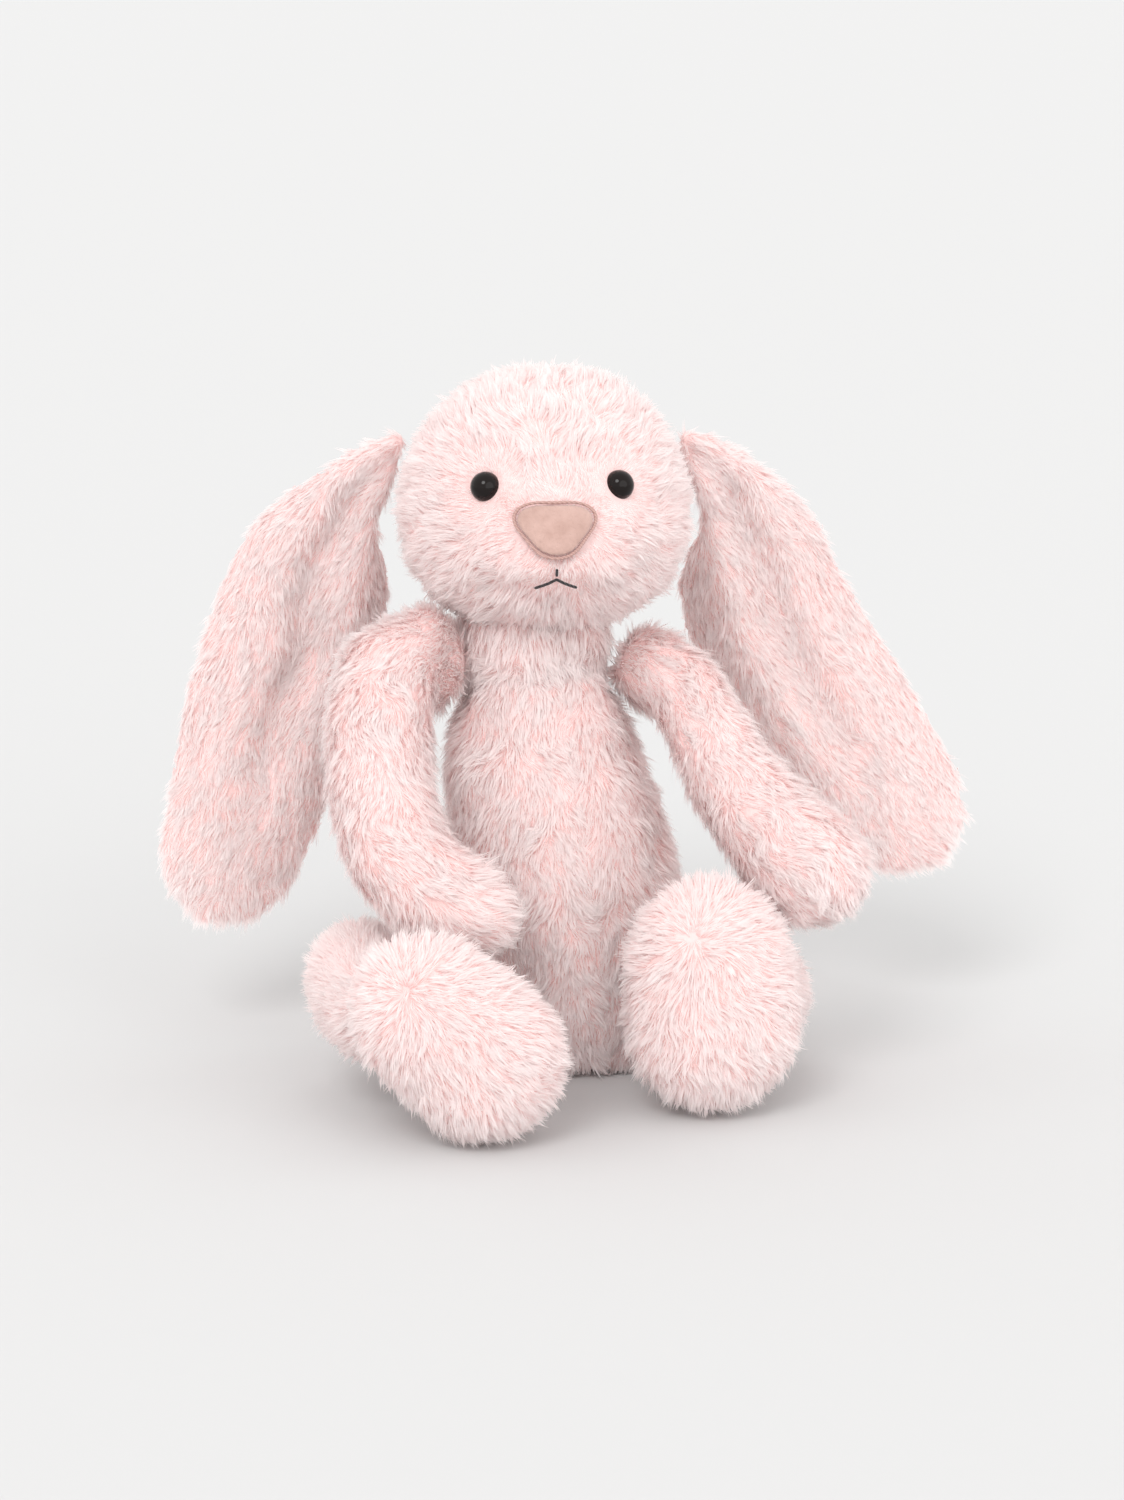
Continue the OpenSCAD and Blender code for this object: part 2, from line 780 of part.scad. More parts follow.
torso_cover();
torso_filling();
bead_pouch();
bead_filling();
care_label();
neck_filling();
head_cover();
head_filling();
nose_patch();
nose_edge_thread();
mouth_thread();
eye(-1);  // right_eye
eye(1);  // left_eye
eye_washer(-1);  // right_eye_washer
eye_washer(1);  // left_eye_washer
ear_back_panel(-1, ear_hang_right);  // right_ear_back
ear_front_panel(-1, ear_hang_right);  // right_ear_front
ear_back_panel(1, ear_hang_left);  // left_ear_back
ear_front_panel(1, ear_hang_left);  // left_ear_front
limb_cover(right_arm, right_arm_radii, [0, 1, 0]);  // right_arm_cover
limb_filling(right_arm, right_arm_radii, [0, 1, 0]);  // right_arm_filling
limb_cover(left_arm, left_arm_radii, [0, 1, 0]);  // left_arm_cover
limb_filling(left_arm, left_arm_radii, [0, 1, 0]);  // left_arm_filling
limb_cover(right_leg, leg_radii, [0, 0, 1]);  // right_leg_cover
limb_filling(right_leg, leg_radii, [0, 0, 1]);  // right_leg_filling
limb_cover(left_leg, leg_radii, [0, 0, 1]);  // left_leg_cover
limb_filling(left_leg, leg_radii, [0, 0, 1]);  // left_leg_filling
right_foot_cover();
right_foot_filling();
left_foot_cover();
left_foot_filling();
tail_cover();
tail_filling();
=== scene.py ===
import math

import bmesh
import bpy
import numpy as np
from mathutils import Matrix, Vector
from mathutils.bvhtree import BVHTree


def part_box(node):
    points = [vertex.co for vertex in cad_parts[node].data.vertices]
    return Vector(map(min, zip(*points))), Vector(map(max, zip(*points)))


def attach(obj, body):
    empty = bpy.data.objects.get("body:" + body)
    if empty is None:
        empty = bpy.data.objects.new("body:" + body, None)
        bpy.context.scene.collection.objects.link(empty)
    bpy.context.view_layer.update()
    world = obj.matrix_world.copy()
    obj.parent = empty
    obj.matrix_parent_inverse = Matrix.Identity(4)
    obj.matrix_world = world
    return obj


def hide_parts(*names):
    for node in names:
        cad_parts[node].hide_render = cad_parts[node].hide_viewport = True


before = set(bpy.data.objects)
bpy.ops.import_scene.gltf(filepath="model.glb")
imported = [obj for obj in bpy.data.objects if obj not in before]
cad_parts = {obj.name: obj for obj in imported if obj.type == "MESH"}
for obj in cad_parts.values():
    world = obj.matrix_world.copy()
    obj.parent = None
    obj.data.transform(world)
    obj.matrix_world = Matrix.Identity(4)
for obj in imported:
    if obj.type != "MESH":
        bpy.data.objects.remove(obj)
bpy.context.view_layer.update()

# ---------------------------------------------------------------- camera, light and floor
# A long lens a little above the toy and to its right, with one large soft key light,
# a wide fill and an even pale room. The floor is a plain pale sheet.
aim = Vector((-0.0039, 0.0240, 0.0969))
away = Vector((-0.1353, -0.9629, 0.2334)).normalized()
camera_far = 1.5
view_height = 0.4905
camera = bpy.data.objects.new("camera", bpy.data.cameras.new("camera"))
camera.data.sensor_width = 36
camera.data.lens = 36 * camera_far / view_height
camera.data.clip_start = 0.05
camera.location = aim + away * camera_far
camera.rotation_mode = "QUATERNION"
camera.rotation_quaternion = (-away).to_track_quat("-Z", "Y")
bpy.context.collection.objects.link(camera)
bpy.context.scene.camera = camera
bpy.context.scene.view_settings.view_transform = "Standard"

room = bpy.data.worlds.new("room")
bpy.context.scene.world = room
room.use_nodes = True
room.node_tree.nodes["Background"].inputs["Color"].default_value = (1.0, 0.995, 0.99, 1)
room.node_tree.nodes["Background"].inputs["Strength"].default_value = 1.08


def soft_light(name, way, spread, strength):
    """An even light from one side of the room, as soft as its spread in degrees."""
    lamp = bpy.data.lights.new(name, "SUN")
    lamp.angle = math.radians(spread)
    lamp.energy = strength
    holder = bpy.data.objects.new(name, lamp)
    holder.rotation_mode = "QUATERNION"
    holder.rotation_quaternion = Vector(way).to_track_quat("Z", "Y")
    bpy.context.collection.objects.link(holder)


soft_light("key", (-0.45, -0.85, 0.85), 24, 1.05)
soft_light("fill", (0.45, -0.95, 0.25), 60, 0.85)


def plain_mesh(name, points, faces, body=None):
    """A new mesh object from points and faces."""
    mesh = bpy.data.meshes.new(name)
    mesh.from_pydata([tuple(p) for p in points], [], [tuple(f) for f in faces])
    piece = bpy.data.objects.new(name, mesh)
    bpy.context.collection.objects.link(piece)
    if body:
        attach(piece, body)
    return piece


def finish_material(name, rough, **fixed):
    """A new material with a Principled shader, and the numbers that are even all over it."""
    material = bpy.data.materials.new(name)
    material.use_nodes = True
    shader = material.node_tree.nodes["Principled BSDF"]
    shader.inputs["Roughness"].default_value = rough
    for socket, value in fixed.items():
        shader.inputs[socket.replace("_", " ")].default_value = value
    return material, material.node_tree.nodes, material.node_tree.links, shader


floor_half = 12
floor_material, nodes, links, shader = finish_material("pale_floor", 0.9)
speck = nodes.new("ShaderNodeTexNoise")
speck.inputs["Scale"].default_value = 3
shade = nodes.new("ShaderNodeValToRGB")
shade.color_ramp.elements[0].color = (0.631, 0.632, 0.632, 1)
shade.color_ramp.elements[1].color = (0.638, 0.639, 0.639, 1)
links.new(speck.outputs["Fac"], shade.inputs["Fac"])
links.new(shade.outputs["Color"], shader.inputs["Base Color"])
corners = [(floor_half * x, floor_half * y, 0) for x, y in ((-1, -1), (1, -1), (1, 1), (-1, 1))]
floor = plain_mesh("floor", corners, [(0, 1, 2, 3)])
floor.data.materials.append(floor_material)

# ---------------------------------------------------------------- torso
# The torso is a bag of long-pile plush with a seam down its front, stuffed firm round the belly.
# Every stuffed piece has a woven backing, on which its pile stands in small combed locks.
backing_pink = (0.87, 0.63, 0.615, 1)
backing_shade = (0.83, 0.57, 0.55, 1)
# The root colour is pinker than the tip: painted shade low in the pile, over the pile's own pink.
pile_root = (0.974, 0.80, 0.786, 1)
pile_middle = (0.988, 0.916, 0.91, 1)
pile_tip = (0.992, 0.953, 0.947, 1)
pile_pale = (0.995, 0.968, 0.963, 1)


def group_socket(group, name, way, kind, value=None):
    socket = group.interface.new_socket(name, in_out=way, socket_type=kind)
    if value is not None:
        socket.default_value = value


# Colour of a hair from its root to its tip, paler or pinker from lock to lock. The pinker root is
# the pile's own pink, deepened as painted shade low in the pile.
pile_colour = bpy.data.node_groups.new("pile_colour", "ShaderNodeTree")
for label, value in (("Root", pile_root), ("Middle", pile_middle), ("Tip", pile_tip), ("Pale", pile_pale)):
    group_socket(pile_colour, label, "INPUT", "NodeSocketColor", value)
group_socket(pile_colour, "Color", "OUTPUT", "NodeSocketColor")
g, wire = pile_colour.nodes, pile_colour.links
given, result = g.new("NodeGroupInput"), g.new("NodeGroupOutput")
along_hair, lock_tint = g.new("ShaderNodeAttribute"), g.new("ShaderNodeAttribute")
along_hair.attribute_name = "along"
lock_tint.attribute_name = "tint"


def mixed(amount, first, second):
    step = g.new("ShaderNodeMix")
    step.data_type = "RGBA"
    wire.new(amount, step.inputs[0])
    wire.new(first, step.inputs[6])
    wire.new(second, step.inputs[7])
    return step.outputs[2]


lower, upper = g.new("ShaderNodeMapRange"), g.new("ShaderNodeMapRange")
lower.inputs["From Max"].default_value = 0.55
upper.inputs["From Min"].default_value = 0.35
wire.new(along_hair.outputs["Fac"], lower.inputs["Value"])
wire.new(along_hair.outputs["Fac"], upper.inputs["Value"])
end_colour = mixed(lock_tint.outputs["Fac"], given.outputs["Tip"], given.outputs["Pale"])
low_colour = mixed(lower.outputs["Result"], given.outputs["Root"], given.outputs["Middle"])
wire.new(mixed(upper.outputs["Result"], low_colour, end_colour), result.inputs["Color"])

plush_pile, nodes, links, shader = finish_material("plush_pile", 0.72, Sheen_Weight=0.25, Sheen_Roughness=0.5)
shader.inputs["Specular IOR Level"].default_value = 0.25
hair = nodes.new("ShaderNodeGroup")
hair.node_tree = pile_colour
links.new(hair.outputs["Color"], shader.inputs["Base Color"])
glow, both = nodes.new("ShaderNodeBsdfTranslucent"), nodes.new("ShaderNodeMixShader")
both.inputs["Fac"].default_value = 0.6
links.new(hair.outputs["Color"], glow.inputs["Color"])
links.new(shader.outputs["BSDF"], both.inputs[1])
links.new(glow.outputs["BSDF"], both.inputs[2])
links.new(both.outputs["Shader"], nodes["Material Output"].inputs["Surface"])

plush_backing, nodes, links, shader = finish_material("plush_backing", 0.95, Sheen_Weight=0.3)
knit, wash = nodes.new("ShaderNodeTexVoronoi"), nodes.new("ShaderNodeTexNoise")
place = nodes.new("ShaderNodeTexCoord")
knit.inputs["Scale"].default_value = 900
wash.inputs["Scale"].default_value = 60
backing_mottle_and_ear_shade = nodes.new("ShaderNodeValToRGB")
backing_mottle_and_ear_shade.color_ramp.elements[0].position, backing_mottle_and_ear_shade.color_ramp.elements[1].position = 0.35, 0.65
backing_mottle_and_ear_shade.color_ramp.elements[0].color, backing_mottle_and_ear_shade.color_ramp.elements[1].color = backing_shade, backing_pink
raised = nodes.new("ShaderNodeBump")
raised.inputs["Strength"].default_value = 0.5
raised.inputs["Distance"].default_value = 0.0004
links.new(place.outputs["Object"], knit.inputs["Vector"])
links.new(place.outputs["Object"], wash.inputs["Vector"])
links.new(wash.outputs["Fac"], backing_mottle_and_ear_shade.inputs["Fac"])
links.new(backing_mottle_and_ear_shade.outputs["Color"], shader.inputs["Base Color"])
links.new(knit.outputs["Distance"], raised.inputs["Height"])
links.new(raised.outputs["Normal"], shader.inputs["Normal"])


def made(piece):
    """The piece's mesh with its modifiers worked in, and none left on it."""
    mesh = bpy.data.meshes.new_from_object(piece.evaluated_get(bpy.context.evaluated_depsgraph_get()))
    piece.modifiers.clear()
    piece.data = mesh


def mesh_arrays(mesh):
    places = np.empty(len(mesh.vertices) * 3)
    mesh.vertices.foreach_get("co", places)
    ways = np.empty(len(mesh.vertices) * 3)
    mesh.vertices.foreach_get("normal", ways)
    return places.reshape(-1, 3), ways.reshape(-1, 3)


def set_places(mesh, places):
    mesh.vertices.foreach_set("co", places.ravel())
    mesh.update()


def eased_mesh(mesh, rounds):
    """Each point drawn towards the middle of its neighbours and half back, which keeps the size."""
    places, _ = mesh_arrays(mesh)
    ends = np.empty(len(mesh.edges) * 2, dtype=int)
    mesh.edges.foreach_get("vertices", ends)
    a, b = ends.reshape(-1, 2).T
    beside = np.bincount(np.concatenate([a, b]), minlength=len(places))[:, None]
    for _ in range(rounds):
        for share in (0.55, -0.5):
            total = np.zeros_like(places)
            np.add.at(total, a, places[b])
            np.add.at(total, b, places[a])
            places += (total / beside - places) * share
    set_places(mesh, places)


def closed_over(name, inside, voxel):
    """One closed mesh round a cover and its filling."""
    build = bmesh.new()
    for node in inside:
        build.from_mesh(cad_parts[node].data)
    mesh = bpy.data.meshes.new(name)
    build.to_mesh(mesh)
    build.free()
    piece = bpy.data.objects.new(name, mesh)
    bpy.context.collection.objects.link(piece)
    close = piece.modifiers.new("close", "REMESH")
    close.mode = "VOXEL"
    close.voxel_size = voxel
    made(piece)
    return piece


def keep_largest(mesh):
    """Only the outer shell stays, without the small loose shells inside it."""
    build = bmesh.new()
    build.from_mesh(mesh)
    build.verts.ensure_lookup_table()
    seen, largest = set(), []
    for start in build.verts:
        if start in seen:
            continue
        group, todo = [], [start]
        seen.add(start)
        while todo:
            point = todo.pop()
            group.append(point)
            for edge in point.link_edges:
                other = edge.other_vert(point)
                if other not in seen:
                    seen.add(other)
                    todo.append(other)
        if len(group) > len(largest):
            largest = group
    kept = set(largest)
    bmesh.ops.delete(build, geom=[v for v in build.verts if v not in kept], context="VERTS")
    build.to_mesh(mesh)
    build.free()


puff_pressure, puff_weight = 4, 0.2
puff_steps = 20
puff_cap = 0.0012


def puffed(piece):
    """Blown up by its filling for a moment, with no point moving further than the cap."""
    before, _ = mesh_arrays(piece.data)
    cloth = piece.modifiers.new("stuffing", "CLOTH")
    cloth.settings.quality = 5
    cloth.settings.mass = puff_weight
    cloth.settings.use_pressure = True
    cloth.settings.uniform_pressure_force = puff_pressure
    cloth.settings.effector_weights.gravity = 0
    cloth.point_cache.frame_start, cloth.point_cache.frame_end = 1, puff_steps
    for step in range(1, puff_steps + 1):
        bpy.context.scene.frame_set(step)
    made(piece)
    bpy.context.scene.frame_set(1)
    after, _ = mesh_arrays(piece.data)
    moved = after - before
    far = np.maximum(np.linalg.norm(moved, axis=1), 1e-9)
    set_places(piece.data, before + moved * np.minimum(1, puff_cap / far)[:, None])
    eased_mesh(piece.data, 1)


skin_sunk = 0.0026
thin_share = 0.36
floor_gap = 0.0006
walls = {}


def stuffed(name, body, inside, voxel=0.004, sunk=skin_sunk, thin=False, proud=None, fuller=None):
    """The backing of a stuffed piece, which lies a little under the surface of its dense pile.
    proud gives where it comes up to that surface, and fuller where it is pushed out or in."""
    piece = closed_over(name, inside, voxel)
    keep_largest(piece.data)
    eased_mesh(piece.data, 3 if thin else 8)
    places, ways = mesh_arrays(piece.data)
    depth = np.full(len(places), sunk) if proud is None else sunk * (1 - proud(places))
    if thin:
        wall = BVHTree.FromObject(piece, bpy.context.evaluated_depsgraph_get())
        for i, (place, way) in enumerate(zip(places, ways)):
            hit = wall.ray_cast(Vector(place - way * 0.0002), Vector(-way), 0.05)
            if hit[0] is not None:
                depth[i] = min(sunk, thin_share * hit[3])
    set_places(piece.data, places - ways * depth[:, None] + (0 if fuller is None else fuller(places)))
    if not thin:
        puffed(piece)
    round_off = piece.modifiers.new("round", "SUBSURF")
    round_off.levels = 1
    made(piece)
    places, _ = mesh_arrays(piece.data)
    places[:, 2] = np.maximum(places[:, 2], floor_gap)
    set_places(piece.data, places)
    piece.data.materials.clear()
    piece.data.materials.append(plush_backing)
    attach(piece, body)
    walls[name] = BVHTree.FromObject(piece, bpy.context.evaluated_depsgraph_get())
    return piece


def unit_rows(v):
    return v / np.maximum(np.linalg.norm(v, axis=1, keepdims=True), 1e-9)


def wander(points, seed, size):
    """A smooth wandering direction over the cloth, whose waves are about the given size."""
    draw = np.random.default_rng(seed)
    total = np.zeros_like(points)
    for _ in range(8):
        way = draw.normal(size=3)
        way *= 2 * math.pi / (size * draw.uniform(0.6, 1.7)) / np.linalg.norm(way)
        total += np.sin((points @ way)[:, None] + draw.uniform(0, 2 * math.pi, 3)) * draw.normal(size=3)
    return total / math.sqrt(8)


def buried(wall, place, deeper=0.0015):
    """True well inside a closed skin: a line out of it crosses the wall an odd number of times."""
    spot, _, _, far = wall.find_nearest(place, 0.04)
    if spot is None or far < deeper:
        return False
    way, start, crossings = Vector((0.31, 0.22, 0.925)), place.copy(), 0
    while crossings < 12:
        hit, _, _, far = wall.ray_cast(start, way)
        if hit is None:
            break
        crossings += 1
        start = hit + way * 0.00005
    return crossings % 2 == 1


# A hair is a flat blade of three rows of two points, and its tip. The first numbers are the rows'
# shares of its length, and the next their shares of its full breadth.
row_shares = (0, 0.38, 0.72)
row_breadths = (1.0, 0.92, 0.6)
hair_points = 7
point_shares = np.append(np.repeat(row_shares, 2), 1.0)
hair_faces = np.array([(0, 1, 2), (1, 3, 2), (2, 3, 4), (3, 5, 4), (4, 5, 6)])
hair_width = 0.00036
hairs_per_lock = 5
hairs_per_piece = 39000
lock_area = 1.55e-6
lock_spread = 0.0011
tip_gather = 0.42
root_depth = 0.0005
coarse_wave, fine_wave, rise_wave, tint_wave = 0.016, 0.006, 0.011, 0.02


def lock_roots(mesh, draw):
    """Places strewn evenly over a mesh, one for each lock, and the way out of the cloth there."""
    mesh.calc_loop_triangles()
    places, ways = mesh_arrays(mesh)
    corners = np.empty(len(mesh.loop_triangles) * 3, dtype=int)
    mesh.loop_triangles.foreach_get("vertices", corners)
    corners = corners.reshape(-1, 3)
    a, b, c = (places[corners[:, k]] for k in range(3))
    area = np.linalg.norm(np.cross(b - a, c - a), axis=1) / 2
    count = int(area.sum() / lock_area)
    chosen = draw.choice(len(area), count, p=area / area.sum())
    u, v = draw.random(count), draw.random(count)
    u, v = np.where(u + v > 1, 1 - u, u), np.where(u + v > 1, 1 - v, v)
    share = np.stack([1 - u - v, u, v], axis=1)[:, :, None]
    root = (places[corners[chosen]] * share).sum(axis=1)
    return root, unit_rows((ways[corners[chosen]] * share).sum(axis=1))


def hair_piece(name, points, tint, body):
    """A mesh of hairs, whose points know how far along the hair they are and how pale it is."""
    count = len(points)
    loops = (np.arange(count)[:, None, None] * hair_points + hair_faces[None]).reshape(-1)
    mesh = bpy.data.meshes.new(name)
    mesh.vertices.add(count * hair_points)
    mesh.vertices.foreach_set("co", points.astype(np.float32).ravel())
    mesh.loops.add(len(loops))
    mesh.loops.foreach_set("vertex_index", loops.astype(np.int32))
    mesh.polygons.add(len(loops) // 3)
    mesh.polygons.foreach_set("loop_start", np.arange(0, len(loops), 3, dtype=np.int32))
    mesh.update(calc_edges=True)
    along = np.tile(point_shares, count)
    tints = np.repeat(tint, hair_points)
    for label, values in (("along", along), ("tint", tints)):
        mesh.attributes.new(label, "FLOAT", "POINT").data.foreach_set("value", values.astype(np.float32))
    chart = mesh.uv_layers.new(name="OFBake")
    chart.data.foreach_set("uv", np.stack([tints[loops], along[loops]], axis=1).astype(np.float32).ravel())
    mesh.materials.append(plush_pile)
    piece = bpy.data.objects.new(name, mesh)
    bpy.context.collection.objects.link(piece)
    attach(piece, body)


def pile(name, skin, comb, seed, length=0.0068, lift=0.36, lay=0.8, tousle=0.36, trim=None, tint_and_painted_light_at=None,
         under=()):
    """The pile on a skin: small locks of flat hairs, combed, with their tips drawn together.
    comb gives the way a lock lies, and stands it up where that is short. trim gives its share of
    the full length, and tint_and_painted_light_at how much pinker it is. No lock grows inside the skins in under."""
    draw = np.random.default_rng(seed)
    root, out = lock_roots(skin.data, draw)
    bare = np.zeros(len(root), dtype=bool)
    for other in under:
        for i, place in enumerate(root):
            if not bare[i]:
                bare[i] = buried(walls[other], Vector(place))
    keep = np.ones(len(root)) if trim is None else trim(root, out)
    bare |= keep <= 0.02
    root, out, keep = root[~bare], out[~bare], keep[~bare]
    count = len(root)
    way = comb(root, out)
    combed = np.clip(np.linalg.norm(way, axis=1), 0.15, 1)
    flat = lay * combed
    way = way + tousle * wander(root, seed + 1, coarse_wave)
    way = way + 0.6 * tousle * wander(root, seed + 2, fine_wave)
    way = unit_rows(way - out * (way * out).sum(axis=1, keepdims=True))
    way = way + draw.normal(size=(count, 3)) * 0.16
    reach = length * keep * draw.uniform(0.78, 1.15, count)
    rise = lift * (1 + 0.22 * wander(root, seed + 3, rise_wave)[:, 0]) + 0.35 * (1 - combed)
    tint = 0.5 + 0.28 * wander(root, seed + 4, tint_wave)[:, 0] + draw.normal(size=count) * 0.22
    tint = np.clip(tint, 0, 1)
    # Tips are made pinker or paler where asked: painted shade in the face's fold, the ears' creases and the
    # torso's seam, and painted light on the ears.
    if tint_and_painted_light_at is not None:
        tint = np.clip(tint - tint_and_painted_light_at(root), 0, 1)
    lock_tip = root + (out * rise[:, None] + way * flat[:, None]) * reach[:, None]

    lock = np.repeat(np.arange(count), hairs_per_lock)
    lock = lock[np.argsort(root[lock][:, 0], kind="stable")]
    count = len(lock)
    out, way, rise, flat = out[lock], way[lock], rise[lock], flat[lock]
    long = reach[lock] * draw.uniform(0.72, 1.12, count)
    across = unit_rows(np.cross(out, way))
    offset = way * draw.normal(size=(count, 1)) + across * draw.normal(size=(count, 1))
    base = root[lock] + offset * lock_spread * 0.6 - out * root_depth
    stray = draw.normal(size=(count, 3)) * 0.0004
    tip = base + (out * rise[:, None] + way * flat[:, None]) * long[:, None] + stray
    shared_tip = lock_tip[lock] + (out + way) * (long - reach[lock])[:, None] * 0.5
    tip = tip + (shared_tip - tip) * tip_gather
    middle = base + out * (rise * long * 0.8)[:, None] + way * (flat * long * 0.22)[:, None]
    side = unit_rows(across + draw.normal(size=(count, 3)) * 0.22)
    half = hair_width / 2 * draw.uniform(0.75, 1.25, count)[:, None] * (0.55 + 0.45 * keep[lock])[:, None]
    rows = []
    for t, broad in zip(row_shares, row_breadths):
        centre = base * (1 - t) ** 2 + middle * 2 * t * (1 - t) + tip * t * t
        rows += [centre - side * half * broad, centre + side * half * broad]
    points = np.stack(rows + [tip], axis=1)
    points[:, :, 2] = np.maximum(points[:, :, 2], 0.0003 + 0.0004 * draw.random((count, 1)))
    tint = np.clip(tint[lock] + draw.normal(size=count) * 0.06, 0.01, 0.99)
    parts = max(1, math.ceil(count / hairs_per_piece))
    for k in range(parts):
        here = slice(count * k // parts, count * (k + 1) // parts)
        label = name if parts == 1 else f"{name}_{k + 1}"
        hair_piece(label, points[here], tint[here], skin_body[skin.name])


skin_body = {
    "torso_skin": "torso", "tail_skin": "torso", "collar": "neck", "head_skin": "head",
    "right_ear_skin": "right_ear", "left_ear_skin": "left_ear",
    "right_arm_skin": "right_arm", "left_arm_skin": "left_arm",
    "right_leg_skin": "right_leg", "left_leg_skin": "left_leg",
}


def swelling(centre, reach, push):
    """A soft bulge of a skin round a place, which meets the piece that is sewn on there."""
    def fuller(points):
        far = np.linalg.norm(points - np.array(centre), axis=1)
        return np.exp(-(far / reach) ** 2)[:, None] * np.array(push)
    return fuller


torso_side_out = swelling((-0.046, -0.014, 0.103), 0.022, (-0.0065, -0.002, 0))
torso_skin = stuffed("torso_skin", "torso", ["torso_cover", "torso_filling"],
                     fuller=torso_side_out)
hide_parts("torso_cover")

# ---------------------------------------------------------------- arms
# Each arm is a long bag of the same plush, sewn closed into the torso at the shoulder.
# Its pile runs from the shoulder to the paw.
def route_comb(route):
    """Combed along a chain of points, each lock taking the way of the parts nearest to it."""
    chain = np.array(route)
    ahead = unit_rows(chain[1:] - chain[:-1])
    middle = (chain[1:] + chain[:-1]) / 2

    def comb(points, out):
        far = np.linalg.norm(points[:, None] - middle[None], axis=2)
        weight = np.exp(-((far - far.min(axis=1, keepdims=True)) / 0.008) ** 2)
        return unit_rows(weight @ ahead)
    return comb


def shifted(pivot, route):
    """A route in millimetres from its pivot, as places in metres."""
    return [tuple((a + b) / 1000 for a, b in zip(pivot, place)) for place in route]


right_shoulder, left_shoulder = (-50.85, 0, 129), (21.49, 0, 129)
right_arm_route = shifted(right_shoulder, [(0, 0, 0), (-12, -10, 6), (-18, -23, -10), (-18, -36, -34),
                                           (-10, -47, -54), (8, -54, -64), (24, -56, -64)])
left_arm_route = shifted(left_shoulder, [(0, 0, 0), (11, -15, -7), (18, -28, -25), (32, -40, -42),
                                         (45, -50, -53), (58, -56, -67)])
arm_voxel = 0.0035
right_shoulder_out = swelling((-0.050, -0.008, 0.142), 0.018, (0.003, -0.001, 0.007))
left_forearm_out = swelling((0.060, -0.045, 0.066), 0.02, (-0.004, -0.001, -0.005))
right_arm_skin = stuffed("right_arm_skin", "right_arm", ["right_arm_cover", "right_arm_filling"],
                         voxel=arm_voxel, fuller=right_shoulder_out)
left_arm_skin = stuffed("left_arm_skin", "left_arm", ["left_arm_cover", "left_arm_filling"],
                        voxel=arm_voxel, fuller=left_forearm_out)
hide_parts("right_arm_cover")
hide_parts("left_arm_cover")
pile("right_arm_pile", right_arm_skin, route_comb(right_arm_route), 21, under=("torso_skin",))
pile("left_arm_pile", left_arm_skin, route_comb(left_arm_route), 31, under=("torso_skin",))


# ---------------------------------------------------------------- legs and feet
# Each leg is a short bag that ends in a large oval foot. The pile runs down the leg,
# and on the foot it spreads from one crown near the toe.
right_crown, left_crown = (-0.070, -0.106, 0.057), (0.021, -0.084, 0.064)
crown_reach = 0.011


def crown_comb(crown):
    """Combed away from one point, and standing up near it."""
    centre = np.array(crown)

    def comb(points, out):
        way = points - centre
        far = np.linalg.norm(way, axis=1, keepdims=True)
        along_cloth = unit_rows(way - out * (way * out).sum(axis=1, keepdims=True))
        return along_cloth * np.clip(far / crown_reach, 0, 1)
    return comb


right_hip_out = swelling((-0.074, -0.022, 0.036), 0.022, (-0.006, 0.0, 0.009))
right_leg_skin = stuffed("right_leg_skin", "right_leg",
                         ["right_leg_cover", "right_leg_filling", "right_foot_cover", "right_foot_filling"],
                         fuller=right_hip_out)
left_leg_skin = stuffed("left_leg_skin", "left_leg",
                        ["left_leg_cover", "left_leg_filling", "left_foot_cover", "left_foot_filling"])
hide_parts("right_leg_cover", "right_foot_cover")
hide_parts("left_leg_cover", "left_foot_cover")
pile("right_leg_pile", right_leg_skin, crown_comb(right_crown), 41, under=("torso_skin",))
pile("left_leg_pile", left_leg_skin, crown_comb(left_crown), 51, under=("torso_skin",))

# ---------------------------------------------------------------- head
# The head is a plush bag stuffed firm and round, with a short muzzle over a sewn-in fold. Its pile
# spreads from the nose, is trimmed short round the eyes and nose, and parts under the mouth.
def middle_of(node):
    low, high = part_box(node)
    return (np.array(low) + np.array(high)) / 2


nose_place = middle_of("nose_patch")
mouth_place = middle_of("mouth_thread")
eye_places = []
for node in ("right_eye", "left_eye"):
    ends = np.array([v.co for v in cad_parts[node].data.vertices])
    eye_places.append(ends[ends[:, 1] < ends[:, 1].min() + 0.004].mean(axis=0))


# The fold's distances out from the middle of the face, and its heights over the mouth there.
lip_out, lip_down = (0.0, 0.0065, 0.014, 0.021), (0.0018, -0.0018, -0.0056, -0.0060)


def lip_gap(points):
    """How far a place is above or below the fold between muzzle and chin, far away beyond its ends."""
    out = np.abs(points[:, 0] - mouth_place[0])
    gap = points[:, 2] - mouth_place[2] - np.interp(out, lip_out, lip_down)
    return gap + 0.02 * (out > 0.023) + 0.05 * (points[:, 1] > mouth_place[1] + 0.02)


def lip_fold(points):
    """The fold is drawn in, and the muzzle over it stands a little proud."""
    gap = lip_gap(points)
    out = np.abs(points[:, 0] - mouth_place[0])
    share = np.clip(out / 0.007, 0.3, 1)
    push = 0.0022 * np.exp(-(gap / 0.0028) ** 2) - 0.0012 * np.exp(-((gap - 0.006) / 0.004) ** 2)
    return np.stack([np.zeros(len(points)), push * share, np.zeros(len(points))], axis=1)


def nearness(points, place, reach, steep):
    """One at a place, falling to nothing past its reach."""
    return np.exp(-np.linalg.norm((points - place) / reach, axis=1) ** steep)


